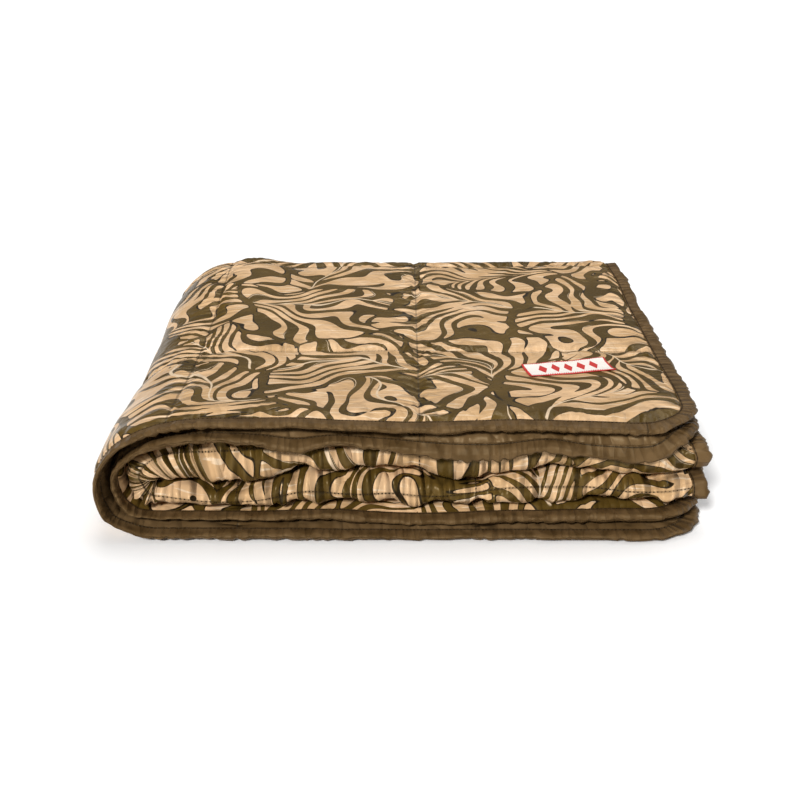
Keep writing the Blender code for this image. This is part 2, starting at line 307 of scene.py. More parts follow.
# How far each layer's front comes out beyond the even stack, on the top and under legs.
FIRST_EDGE_OUT = (0.003, 0.018)
LAST_EDGE_OUT = (0.005, 0.004)
CREASE_OUT = (0.002, 0.005)
OUT_REACH = 0.14

# How far the front crease turns up towards the top leg, its wander, and the strip that turns.
CREASE_ROLL = 0.009
CREASE_WANDER = 0.004
CREASE_STRIP = 0.15

FLOOR_GAP = 0.0004


def edge_hang(x, first_end, top):
    """The hang angle of the bound edges: the sheet's first or last end, on the top or under leg."""
    upper = np.where(first_end, curve(TOP_EDGE_HANG, x), curve(SECOND_EDGE_HANG, x))
    lower = np.where(first_end, curve(LOWEST_EDGE_HANG, x), curve(THIRD_EDGE_HANG, x))
    uneven = HANG_WANDER * noise(x / 0.03, np.where(first_end, 0.5, 3.5), 21)
    return np.maximum(np.where(top, upper, lower) + uneven, LEAST_HANG)


def place(u, v, w):
    """Where a flat point (u, v, w) lies in the folded, settled blanket."""
    u, v, w = (np.array(a, float) for a in np.broadcast_arrays(u, v, w))
    under = smooth((u - SHOULDER_START) / (UNDER_START - SHOULDER_START))
    near_crease = smooth(1 - np.abs(v - MIDDLE_CREASE) / CREASE_STRIP)
    rolled = v + near_crease * (CREASE_ROLL * (1 - under) + CREASE_WANDER * noise(u / 0.06, 0.5, 22))
    y, height = fold_in_depth(rolled, w)
    middle_y, middle_height = fold_in_depth(rolled, np.zeros_like(w))
    x, z = fold_in_width(u, height)
    _, middle_z = fold_in_width(u, middle_height)

    first_end = v < MIDDLE_CREASE
    bound = (v < BOUND_STRIP) | (v > SHEET_LENGTH - BOUND_STRIP)
    from_edge = middle_y - FRONT
    angle = np.radians(edge_hang(x, first_end, u < ROLL_MIDDLE))
    reach = np.where(first_end, FIRST_HANG_REACH, LAST_HANG_REACH)
    radius = HANG_BEND / angle
    past = np.clip(reach - from_edge, 0, None)
    turned = np.minimum(past, HANG_BEND) / radius
    straight_part = np.maximum(past - HANG_BEND, 0)
    above = z - middle_z
    straight = smooth(np.abs(u - (SHOULDER_START + UNDER_START) / 2) / 0.12 - 0.35)
    hanging = bound & (from_edge < reach)
    hung_y = FRONT + reach - (radius + above) * np.sin(turned) - straight_part * np.cos(turned)
    hung_z = middle_z - radius + (radius + above) * np.cos(turned) - straight_part * np.sin(turned)
    y = np.where(hanging, y + (hung_y - y) * straight, y)
    z = np.where(hanging, z + (hung_z - z) * straight, z)

    drawn_back = (reach - radius * np.sin(angle) - (reach - HANG_BEND) * np.cos(angle)) * straight
    first_out, last_out, crease_out = (
        outs[0] * (1 - under) + outs[1] * under for outs in (FIRST_EDGE_OUT, LAST_EDGE_OUT, CREASE_OUT)
    )
    edge_out = np.where(first_end, first_out, last_out)
    near_end = (v < SHEET_LENGTH / 4) | (v > SHEET_LENGTH * 3 / 4)
    out = np.where(near_end, edge_out + drawn_back, crease_out)
    y = y - out * smooth(1 - (middle_y - FRONT) / OUT_REACH)
    x, y, z = settle(x, y, z)
    return np.stack([x, y, np.maximum(z, FLOOR_GAP)], axis=-1)


# ---------------------------------------------------------------- the flat sheet


def nearest_centre(u, v):
    """The nearest point of the rectangle that joins the centres of the round corners."""
    r = CORNER_RADIUS
    return np.clip(u, r, SHEET_WIDTH - r), np.clip(v, r, SHEET_LENGTH - r)


def rounded(u, v):
    """Moves points of the rectangle so that its four corners come out round."""
    centre_u, centre_v = nearest_centre(u, v)
    across, along = u - centre_u, v - centre_v
    reach = np.hypot(across, along)
    scale = np.where(reach > 0, np.maximum(np.abs(across), np.abs(along)) / np.maximum(reach, 1e-9), 1)
    return centre_u + across * scale, centre_v + along * scale


def edge_distance(u, v):
    """How far a point of the sheet is inside its round-cornered outline."""
    centre_u, centre_v = nearest_centre(u, v)
    corner = CORNER_RADIUS - np.hypot(u - centre_u, v - centre_v)
    straight = np.minimum(np.minimum(u, SHEET_WIDTH - u), np.minimum(v, SHEET_LENGTH - v))
    return np.where((u != centre_u) & (v != centre_v), corner, straight)


def seam_distances(place_along, seams):
    """The distance to the nearest seam, and which one it is."""
    gaps = np.abs(np.asarray(place_along)[..., None] - np.array(seams))
    return gaps.min(-1), gaps.argmin(-1)


def border_walk(u, v):
    """The length walked round the outline to the border point nearest to (u, v)."""
    r, quarter = CORNER_RADIUS, CORNER_RADIUS * math.pi / 2
    side_u, side_v = SHEET_WIDTH - 2 * r, SHEET_LENGTH - 2 * r
    starts = np.cumsum([0, side_u, quarter, side_v, quarter, side_u, quarter, side_v])
    near_sides = [starts[0] + u - r, starts[2] + v - r]
    far_sides = [starts[4] + SHEET_WIDTH - r - u, starts[6] + SHEET_LENGTH - r - v]
    nearest = np.argmin(np.stack([v, SHEET_WIDTH - u, SHEET_LENGTH - v, u]), axis=0)
    straight = np.take_along_axis(np.stack(near_sides + far_sides), nearest[None], axis=0)[0]
    centre_u, centre_v = nearest_centre(u, v)
    angle = np.arctan2(v - centre_v, u - centre_u)
    right, far = u > centre_u, v > centre_v
    corner = np.where(right, np.where(far, 1, 0), np.where(far, 2, 3))
    turned = angle - np.choose(corner, [-math.pi / 2, 0.0, math.pi / 2, -math.pi])
    bent = np.array([starts[1], starts[3], starts[5], starts[7]])[corner] + r * turned
    return np.where((u != centre_u) & (v != centre_v), bent, straight)


def gathers(along, away, size, seed):
    """Puffs between sharp creases, as of cloth drawn up along a seam: from -0.6 to at most 1.4."""
    return 2 * np.abs(noise(along / size, away / 0.03, seed)) - 0.6


# Where the creased front folds are pinched in: (u, half width, depth).
PINCHES = [
    (0.060, 0.006, 0.006), (0.129, 0.009, 0.008), (0.185, 0.006, 0.005), (0.245, 0.007, 0.006),
    (0.300, 0.006, 0.005), (0.349, 0.009, 0.008), (0.405, 0.006, 0.005), (0.600, 0.010, 0.006),
    (0.655, 0.007, 0.006), (0.715, 0.006, 0.005), (0.760, 0.007, 0.006), (0.800, 0.006, 0.005),
    (0.840, 0.007, 0.006), (0.877, 0.008, 0.007), (0.930, 0.006, 0.005), (0.982, 0.008, 0.008),
    (1.025, 0.006, 0.006),
]

# How far the crushed cloth spreads from the middle crease.
CREASE_SPREAD = 0.024

# Wrinkle heights: those drawn up along the rows, the columns and the tape, those of the crushed front
# creases, and the loose ones all over.
ROW_GATHER = 0.0016
CREASED_ROW_GATHER = 0.0010
COLUMN_GATHER = 0.0018
EDGE_GATHER = 0.0019
GATHER_SIZE = 0.008
CREASE_FOLD = 0.0022
LONG_FOLD = 0.0024
ROLL_CRUSH = 0.0045
BROAD_WRINKLE = 0.0011
FINE_WRINKLE = 0.0009
PRINTED_SEED = 30
LINING_SEED = 40
TAPE_SEED = 60


def puffing(distance):
    """How full a panel is at a distance from a seam: 0 on the seam and nearly 1 well away from it."""
    return 1 - 0.55 * np.exp(-distance / 0.005) - 0.45 * np.exp(-distance / 0.020)


def cloth_level(u, v, face):
    """How far the cloth on a face (+1 printed, -1 lining) stands from the sheet's middle."""
    u, v = np.broadcast_arrays(np.asarray(u, float), np.asarray(v, float))
    edge = edge_distance(u, v)
    row, row_index = seam_distances(v, ROW_SEAMS)
    column, column_index = seam_distances(u, COLUMN_SEAMS)
    from_tape = np.maximum(edge - TAPE_COVER, 0)
    share = puffing(row) * puffing(column) * (1 - np.exp(-from_tape / 0.008))
    under_tape = smooth((TAPE_SEAM - edge) / 0.0015)
    level = SEWN_HALF - TAPE_PRESS * under_tape + (PUFFED_HALF - SEWN_HALF) * share
    seed = PRINTED_SEED if face > 0 else LINING_SEED
    free = smooth(row / 0.004) * smooth(column / 0.004) * smooth((edge - TAPE_SEAM) / 0.005)
    row_gather = np.exp(-row / 0.013) * gathers(u + 0.3 * v, v + 7 * row_index, GATHER_SIZE, seed)
    column_gather = gathers(v + 0.3 * u, u + 7 * column_index, GATHER_SIZE, seed + 1)
    column_gather = np.exp(-column / 0.015) * column_gather
    edge_gather = np.exp(-from_tape / 0.014) * gathers(border_walk(u, v), edge, TAPE_GATHER, TAPE_SEED)
    crease = np.exp(-((v - MIDDLE_CREASE) ** 2) / CREASE_SPREAD**2)
    crease_fold = crease * gathers(u, v, 0.015, seed + 3)
    long_fold = crease * noise(u / 0.03 + v / 0.02, v / 0.05, seed + 6)
    broad = noise(u / 0.055, v / 0.04, seed + 4)
    fine = noise(u / 0.02, v / 0.026, seed + 5)
    wrinkle = (ROW_GATHER + CREASED_ROW_GATHER * crease) * row_gather
    wrinkle = wrinkle + COLUMN_GATHER * column_gather + EDGE_GATHER * edge_gather
    wrinkle = wrinkle + CREASE_FOLD * crease_fold + LONG_FOLD * long_fold
    wrinkle = wrinkle + BROAD_WRINKLE * broad + FINE_WRINKLE * fine
    near_roll = smooth(1 - np.abs(u - ROLL_MIDDLE) / 0.13)
    wrinkle = wrinkle + near_roll * crease * ROLL_CRUSH * noise(u / 0.012, v / 0.016, seed + 7)
    for middle, half, depth in PINCHES:
        wrinkle = wrinkle - depth * crease * np.exp(-(((u - middle) / half) ** 2))
    return face * np.maximum(level + wrinkle * free, LEAST_LEVEL)


# ---------------------------------------------------------------- meshes


def graded(length, zones, coarse):
    """Places along a side: evenly spaced at each (start, end, spacing) zone, and coarse in between."""
    places = [0.0]
    for start, end, spacing in sorted(zones) + [(length, length, coarse)]:
        for stop, step in ((start, coarse), (end, spacing)):
            at = places[-1]
            if stop > at:
                places += list(np.linspace(at, stop, math.ceil((stop - at) / step) + 1)[1:])
    return np.array(places)


def quads(columns, rows):
    """The faces of a grid of points, counted row by row."""
    corner = (np.arange(rows - 1)[:, None] * columns + np.arange(columns - 1)).ravel()
    return np.stack([corner, corner + 1, corner + columns + 1, corner + columns], axis=1)


def mesh_object(name, points, faces, uv, material):
    """An object from points and faces of one size, with each point's place on the sheet as its UV."""
    mesh = bpy.data.meshes.new(name)
    sides = faces.shape[1]
    mesh.vertices.add(len(points))
    mesh.vertices.foreach_set("co", np.asarray(points, np.float32).ravel())
    mesh.loops.add(faces.size)
    mesh.loops.foreach_set("vertex_index", faces.ravel().astype(np.int32))
    mesh.polygons.add(len(faces))
    mesh.polygons.foreach_set("loop_start", np.arange(0, faces.size, sides, dtype=np.int32))
    mesh.update(calc_edges=True)
    layer = mesh.uv_layers.new(name="sheet")
    layer.data.foreach_set("uv", np.asarray(uv, np.float32)[faces.ravel()].ravel())
    mesh.shade_smooth()
    mesh.materials.append(material)
    made = bpy.data.objects.new(name, mesh)
    bpy.context.scene.collection.objects.link(made)
    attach(made, "root")
    return made


def slab(name, above, below, uv, material):
    """A closed slab between two grids of points, with a rim round its border."""
    rows, columns = uv.shape[:2]
    count = columns * rows
    grid = quads(columns, rows)
    out = [np.arange(columns), np.arange(2 * columns - 1, count, columns)]
    back = [np.arange(count - 2, count - columns - 1, -1), np.arange(count - 2 * columns, 0, -columns)]
    border = np.concatenate(out + back)
    after = np.roll(border, -1)
    rim = np.stack([border, after, after + count, border + count], axis=1)
    faces = np.concatenate([grid[:, ::-1], grid + count, rim])
    points = np.stack([above, below]).reshape(-1, 3)
    return mesh_object(name, points, faces, np.tile(uv.reshape(-1, 2), (2, 1)), material)


def cloth(name, face, across, along, material):
    """One face's whole cloth, as one continuous sheet."""
    u, v = rounded(*np.meshgrid(across, along))
    points = place(u, v, cloth_level(u, v, face)).reshape(-1, 3)
    faces = quads(len(across), len(along))
    if face > 0:
        faces = faces[:, ::-1]
    return mesh_object(name, points, faces, np.stack([u.ravel(), v.ravel()], axis=1), material)


SIDE_STRIP = 0.045


def printed_cloth(material):
    """The printed face, with its points closest by the tape, on the top leg and at the folds."""
    close, middling = 0.0022, 0.0032
    width, middle, end = SHEET_WIDTH, MIDDLE_CREASE, SHEET_LENGTH
    sides = [(0, SIDE_STRIP, close), (SIDE_STRIP, 0.62, middling), (width - SIDE_STRIP, width, close)]
    ends = [(0, 0.05, close), (0.05, 0.45, middling), (end - 0.05, end, close)]
    folds = [(0.45, 0.53, 0.0045), (middle - 0.035, middle + 0.035, close), (1.395, 1.45, 0.004)]
    across = graded(width, sides, 0.0044)
    along = graded(end, ends + folds, 0.018)
    return cloth("printed_cloth", 1, across, along, material)


def lining_cloth(material):
    """The lining, with its points closest by the tape and at the folds."""
    width, middle, end = SHEET_WIDTH, MIDDLE_CREASE, SHEET_LENGTH
    sides = [(0, SIDE_STRIP, 0.0025), (width - SIDE_STRIP, width, 0.0025)]
    ends = [(0, 0.06, 0.0022), (end - 0.06, end, 0.002)]
    folds = [(0.44, 0.52, 0.004), (middle - 0.03, middle + 0.03, 0.003)]
    across = graded(width, sides, 0.005)
    along = graded(end, ends + folds, 0.014)
    return cloth("lining_cloth", -1, across, along, material)


BATTING_FLAT = (SHEET_WIDTH - 2 * BATTING_INSET, SHEET_LENGTH - 2 * BATTING_INSET)
BATTING_SEWN_HALF = 0.0004
BATTING_PUFF = 0.0030
BATTING_TAPER = 0.02


def batting_sheet(material):
    """The batting between the cloths, as one closed sheet that keeps clear of both."""
    middle = MIDDLE_CREASE - BATTING_INSET
    folds = [(0.425, 0.5, 0.005), (middle - 0.03, middle + 0.03, 0.004), (1.38, 1.435, 0.004)]
    across = graded(BATTING_FLAT[0], [], 0.009)
    along = graded(BATTING_FLAT[1], folds, 0.014)
    u, v = rounded(*np.meshgrid(across + BATTING_INSET, along + BATTING_INSET))
    from_row, from_column = seam_distances(v, ROW_SEAMS)[0], seam_distances(u, COLUMN_SEAMS)[0]
    from_crease = np.abs(v - MIDDLE_CREASE)
    inside = smooth((from_row - 0.012) / BATTING_TAPER) * smooth((from_column - 0.010) / BATTING_TAPER)
    inside = inside * smooth((from_crease - 0.035) / BATTING_TAPER)
    inside_edge = smooth((edge_distance(u, v) - 0.018) / BATTING_TAPER)
    level = BATTING_SEWN_HALF + BATTING_PUFF * inside * inside_edge
    uv = np.stack([u, v], axis=-1)
    return slab("batting", place(u, v, level), place(u, v, -level), uv, material)


def edge_walk(spacing):
    """Points round the sheet's outline, the way inwards at each, and the length walked."""
    r, w, l = CORNER_RADIUS, SHEET_WIDTH, SHEET_LENGTH
    runs = []
    corners = [(w - r, r, -90), (w - r, l - r, 0), (r, l - r, 90), (r, r, 180)]
    starts = [(r, 0), (w, r), (w - r, l), (0, l - r)]
    ends = [(w - r, 0), (w, l - r), (r, l), (0, r)]
    for (cu, cv, first), start, end in zip(corners, starts, ends):
        length = math.dist(start, end)
        share = np.linspace(0, 1, math.ceil(length / spacing), endpoint=False)[:, None]
        line = np.array(start) + (np.array(end) - np.array(start)) * share
        inward = np.radians(first) + math.pi
        way = np.tile([math.cos(inward), math.sin(inward)], (len(line), 1))
        runs.append((line, way))
        turn = np.radians(first + np.linspace(0, 90, math.ceil(r * math.pi / 2 / spacing), endpoint=False))
        out = np.stack([np.cos(turn), np.sin(turn)], axis=1)
        runs.append((np.array([cu, cv]) + r * out, -out))
    points = np.concatenate([run[0] for run in runs])
    inwards = np.concatenate([run[1] for run in runs])
    steps = np.linalg.norm(np.diff(points, axis=0, append=points[:1]), axis=1)
    return points, inwards, np.concatenate([[0], np.cumsum(steps)[:-1]])


# The tape: its height over the cloth at its seam, and how full and ruffled it is between there and its fold.
TAPE_LIFT = 0.0007
TAPE_FULLNESS = 0.0005
TAPE_RUFFLE = 0.0016
TAPE_SQUEEZE = 0.0008
TAPE_LIP = 0.0004
TAPE_SCALLOP = 0.0016
TAPE_WALL = 0.0005
TAPE_STEP = 0.0022
TAPE_OFFSETS = [TAPE_COVER, 0.0118, TAPE_SEAM, 0.0099, 0.0078, 0.0054, 0.0028, 0.0004]
TAPE_REPEAT = 0.06


def tape_level(u, walked, offset, face):
    """The tape's outer face over the sheet: flat at its seam, gathered between there and the fold."""
    loose = smooth((TAPE_SEAM - offset) / 0.003) * smooth((offset + 0.004) / 0.004)
    lip = smooth((offset - TAPE_SEAM) / 0.0015)
    gathered = gathers(walked, offset, TAPE_GATHER, TAPE_SEED)
    gathered = gathered + 0.5 * gathers(walked, offset, TAPE_GATHER / 2, TAPE_SEED + 2 + face)
    gathered = gathered * smooth(0.65 + noise(walked / 0.05, 0.5, TAPE_SEED + 4))
    squeezed = smooth(1.2 - np.abs(u - ROLL_MIDDLE - 0.02) / 0.12)
    fullness = (TAPE_FULLNESS + TAPE_RUFFLE * gathered) * (1 - 0.7 * squeezed) - TAPE_SQUEEZE * squeezed
    return SEWN_HALF + TAPE_LIFT + loose * fullness + TAPE_LIP * lip * gathered


def binding_tape(material):
    """The tape folded over the whole edge, as one closed band."""
    points, inwards, walked = edge_walk(TAPE_STEP)
    printed_side, lining_side = (
        [(offset, face * tape_level(points[:, 0], walked, offset, face)) for offset in TAPE_OFFSETS]
        for face in (1, -1)
    )
    scallop = -TAPE_SCALLOP * gathers(walked, 0.0, TAPE_GATHER, TAPE_SEED)
    fold = [(-0.0008 + scallop, 0.0012), (-0.0015 + scallop, 0.0), (-0.0008 + scallop, -0.0012)]
    inner = [(offset, w - TAPE_WALL * np.sign(w)) for offset, w in lining_side]
    inner += [(-0.0003 + scallop, 0.0)]
    inner += [(offset, w - TAPE_WALL * np.sign(w)) for offset, w in printed_side[::-1]]
    section = printed_side + fold + lining_side[::-1] + inner
    offset = np.stack([np.broadcast_to(across, walked.shape) for across, _ in section], axis=1)
    w = np.stack([np.broadcast_to(through, walked.shape) for _, through in section], axis=1)
    u = points[:, :1] + inwards[:, :1] * offset
    v = points[:, 1:] + inwards[:, 1:] * offset

    # The band closes on itself both along the edge and round its section.
    here = np.arange(offset.size).reshape(offset.shape)
    ahead = np.roll(here, -1, axis=0)
    faces = np.stack([here, np.roll(here, -1, axis=1), np.roll(ahead, -1, axis=1), ahead], axis=-1)
    uv = np.stack([np.repeat(walked, len(section)), (offset + (w < 0) * TAPE_REPEAT).ravel()], axis=1)
    return mesh_object("binding_tape", place(u, v, w).reshape(-1, 3), faces.reshape(-1, 4), uv, material)


STITCH_PITCH = 0.0032
STITCH_HALF = 0.0011
STITCH_WIDTH = 0.0007
STITCH_HEIGHT = 0.0009
STITCH_END_DIP = 0.0003
STITCH_DEPTH = 0.0004

# A lockstitch has a needle thread on the printed face and a bobbin thread on the lining.
THREAD_FACES = (("needle", 1), ("bobbin", -1))


def stitches(name, path, level, face, material):
    """Separate stitches along a path of (u, v, way_u, way_v), as slim beads that dip in at both ends."""
    u, v, way_u, way_v = path
    parts = [
        (-STITCH_HALF, 0.0, -STITCH_END_DIP),
        (STITCH_HALF, 0.0, -STITCH_END_DIP),
        (0.0, STITCH_WIDTH, 0.0),
        (0.0, 0.0, STITCH_HEIGHT),
        (0.0, -STITCH_WIDTH, 0.0),
        (0.0, 0.0, -STITCH_DEPTH),
    ]
    points = []
    for along, aside, up in parts:
        pu = u + way_u * along - way_v * aside
        pv = v + way_v * along + way_u * aside
        points.append(place(pu, pv, face * (np.abs(level) + up)))
    points = np.stack(points, axis=1).reshape(-1, 3)
    shape = np.array([[0, 2, 3], [0, 3, 4], [0, 4, 5], [0, 5, 2], [1, 3, 2], [1, 4, 3], [1, 5, 4], [1, 2, 5]])
    faces = (np.arange(len(u))[:, None, None] * len(parts) + shape).reshape(-1, 3)
    if face > 0:
        faces = faces[:, ::-1]
    uv = np.repeat(np.stack([u, v], axis=1), len(parts), axis=0)
    return mesh_object(name, points, faces, uv, material)


def seam_thread(seam, kind, path, level, face, looks):
    """One thread of a seam, with the material that looks holds for its slot."""
    slot = "dark_thread" if face > 0 else "brown_thread"
    piece = stitches(f"{seam}_{kind}_stitches", path, level, face, looks[slot])
    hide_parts(f"{seam}_{kind}_thread")


def quilting(looks):
    """The needle and bobbin stitches of each quilting seam, one piece a thread."""
    end = TAPE_COVER + 0.002
    for word, seams, length in (("row", ROW_SEAMS, SHEET_WIDTH), ("column", COLUMN_SEAMS, SHEET_LENGTH)):
        along = np.arange(end, length - end, STITCH_PITCH)
        for number, seam in enumerate(seams, 1):
            across = np.full_like(along, seam)
            path = (along, across, 1.0, 0.0) if word == "row" else (across, along, 0.0, 1.0)
            for kind, face in THREAD_FACES:
                level = cloth_level(path[0], path[1], face)
                seam_thread(f"quilting_{word}_{number}", kind, path, level, face, looks)


def binding_stitches(looks):
    """The needle and bobbin stitches that hold the tape, one piece a thread."""
    points, inwards, walked = edge_walk(STITCH_PITCH)
    u, v = (points + inwards * TAPE_SEAM).T
    path = (u, v, -inwards[:, 1], inwards[:, 0])
    for kind, face in THREAD_FACES:
        level = tape_level(u, walked, np.full_like(u, TAPE_SEAM), face)
        seam_thread("binding", kind, path, level, face, looks)


LABEL_CENTRE = (0.102, 0.132)
LABEL_SIZE = (0.083, 0.033)
LABEL_TURN = math.radians(-11)
LABEL_THICKNESS = 0.0006
LABEL_GAP = 0.0004
LABEL_CORNER_LIFT = 0.0012


def on_label(across, along):
    """The place on the sheet of a point of the label, measured from its middle."""
    cos, sin = math.cos(LABEL_TURN), math.sin(LABEL_TURN)
    return LABEL_CENTRE[0] + across * cos - along * sin, LABEL_CENTRE[1] + across * sin + along * cos


def woven_label(material):
    """A thin closed slab that follows the cloth, with its corners a little lifted."""
    columns, rows = 49, 21
    across = np.linspace(-0.5, 0.5, columns) * LABEL_SIZE[0]
    along = np.linspace(-0.5, 0.5, rows) * LABEL_SIZE[1]
    a, b = np.meshgrid(across, along)
    u, v = on_label(a, b)
    corner = smooth(np.abs(a) / LABEL_SIZE[0] * 4 - 1) * smooth(np.abs(b) / LABEL_SIZE[1] * 4 - 1)
    under = cloth_level(u, v, 1) + LABEL_GAP + LABEL_CORNER_LIFT * corner
    uv = np.stack([a + LABEL_SIZE[0] / 2, b + LABEL_SIZE[1] / 2], axis=-1)
    return slab("sewn_label", place(u, v, under + LABEL_THICKNESS), place(u, v, under), uv, material)


def label_stitches(material):
    """The stitches all round the label, just inside its border."""
    inset, pitch = 0.0018, 0.0022
    half_a, half_b = (size / 2 - inset for size in LABEL_SIZE)
    across = np.arange(-half_a, half_a, pitch)
    along = np.arange(-half_b, half_b, pitch)
    a = np.concatenate([across, np.full_like(along, half_a), -across, np.full_like(along, -half_a)])
    b = np.concatenate([np.full_like(across, -half_b), along, np.full_like(across, half_b), -along])
    turned = np.tile(np.concatenate([np.zeros(len(across)), np.ones(len(along))]), 2)
    angle = LABEL_TURN + turned * math.pi / 2
    u, v = on_label(a, b)
    level = cloth_level(u, v, 1) + LABEL_GAP + LABEL_THICKNESS
    return stitches("label_stitches", (u, v, np.cos(angle), np.sin(angle)), level, 1, material)


# ---------------------------------------------------------------- materials


class Nodes:
    """A material's node tree, with each step a call that returns its output."""

    def __init__(self, name):
        self.material = bpy.data.materials.new(name)
        self.material.use_nodes = True
        self.tree = self.material.node_tree
        self.shader = self.tree.nodes["Principled BSDF"]

    def add(self, kind, **settings):
        node = self.tree.nodes.new(kind)
        for key, value in settings.items():
            setattr(node, key, value)
        return node

    def put(self, socket, value):
        if isinstance(value, bpy.types.NodeSocket):
            self.tree.links.new(value, socket)
        elif isinstance(value, tuple) and socket.type == "RGBA" and len(value) == 3:
            socket.default_value = (*value, 1.0)
        else:
            socket.default_value = value

    def feed(self, node, **values):
        """Puts each value in the input of that name, with _ for a space."""
        for name, value in values.items():
            self.put(node.inputs[name.replace("_", " ")], value)
        return node

    def math(self, operation, *values):
        node = self.add("ShaderNodeMath", operation=operation)
        for socket, value in zip(node.inputs, values):
            self.put(socket, value)
        return node.outputs[0]

    def plus(self, *values):
        return self.math("ADD", *values)

    def minus(self, *values):
        return self.math("SUBTRACT", *values)

    def times(self, *values):
        return self.math("MULTIPLY", *values)

    def absolute(self, value):
        return self.math("ABSOLUTE", value)

    def vector(self, operation, *values):
        node = self.add("ShaderNodeVectorMath", operation=operation)
        sockets = [node.inputs[0], node.inputs["Scale"]] if operation == "SCALE" else node.inputs
        for socket, value in zip(sockets, values):
            self.put(socket, value)
        return node.outputs[0]

    def sheet(self, scale=1.0):
        place_on = self.add("ShaderNodeUVMap", uv_map="sheet").outputs[0]
        return self.vector("SCALE", place_on, scale)

    def noise(self, where, scale, detail=1.0, roughness=0.5, colour=False):
        node = self.add("ShaderNodeTexNoise", noise_dimensions="2D")
        self.feed(node, Vector=where, Scale=scale, Detail=detail, Roughness=roughness)
        return node.outputs["Color" if colour else "Fac"]

    def creases(self, where, scale, detail, roughness=0.5):
        """How far a noise is from its middle, which is nothing along sharp lines."""
        return self.absolute(self.minus(self.noise(where, scale, detail, roughness), 0.5))

    def wander(self, where, scale, amount):
        """A plain noise round zero."""
        return self.times(self.minus(self.noise(where, scale, 0.0), 0.5), amount)

    def split(self, where):
        return tuple(self.feed(self.add("ShaderNodeSeparateXYZ"), Vector=where).outputs)

    def blend(self, share, first, second):
        node = self.add("ShaderNodeMix", data_type="RGBA")
        return self.feed(node, Factor=share, A=first, B=second).outputs["Result"]

    def ramp(self, value, low, high, start=0.0, end=1.0):
        node = self.add("ShaderNodeMapRange", interpolation_type="SMOOTHSTEP")
        self.feed(node, Value=value, From_Min=low, From_Max=high)
        return self.feed(node, To_Min=start, To_Max=end).outputs[0]

    def bump(self, height, distance, strength, under=None):
        node = self.add("ShaderNodeBump")
        self.feed(node, Height=height, Distance=distance, Strength=strength)
        if under is not None:
            self.feed(node, Normal=under)
        return node.outputs[0]

    def finish(self, colour, roughness, normal=None, specular=0.5, tint=(1.0, 1.0, 1.0)):
        self.feed(self.shader, Base_Color=colour, Roughness=roughness)
        self.feed(self.shader, Specular_IOR_Level=specular, Specular_Tint=tint)
        if normal is not None:
            self.feed(self.shader, Normal=normal)
        return self.material


# The print's scale on the sheet, and its leaves, counted in that scale.
PRINT_SCALE = 11.0
LEAF_CELLS = 0.72
LEAF_SCATTER = 0.9
OUTLINE_WIDTH = 0.010

# The painted shade that darkens the cloths in their seam grooves, and the tint of their gloss.
PAINTED_SEAM_SHADE = (0.02, 0.013, 0.006)
WARM_SHINE = (1.0, 0.8, 0.5)

# The folds that seams pull: how often they come along and away from a seam, and their depth.
PULLED_CLOSE = 85.0
PULLED_LONG = 22.0
PULLED_DEPTH = 0.009
CRUSHED_EXTRA = 2.6
YARN_PITCH = 0.0006


def weave(n, pitch):
    """Fine crossing yarns."""
    u, v, _ = n.split(n.sheet(math.pi / pitch))
    return n.times(n.absolute(n.math("SINE", u)), n.absolute(n.math("SINE", v)))


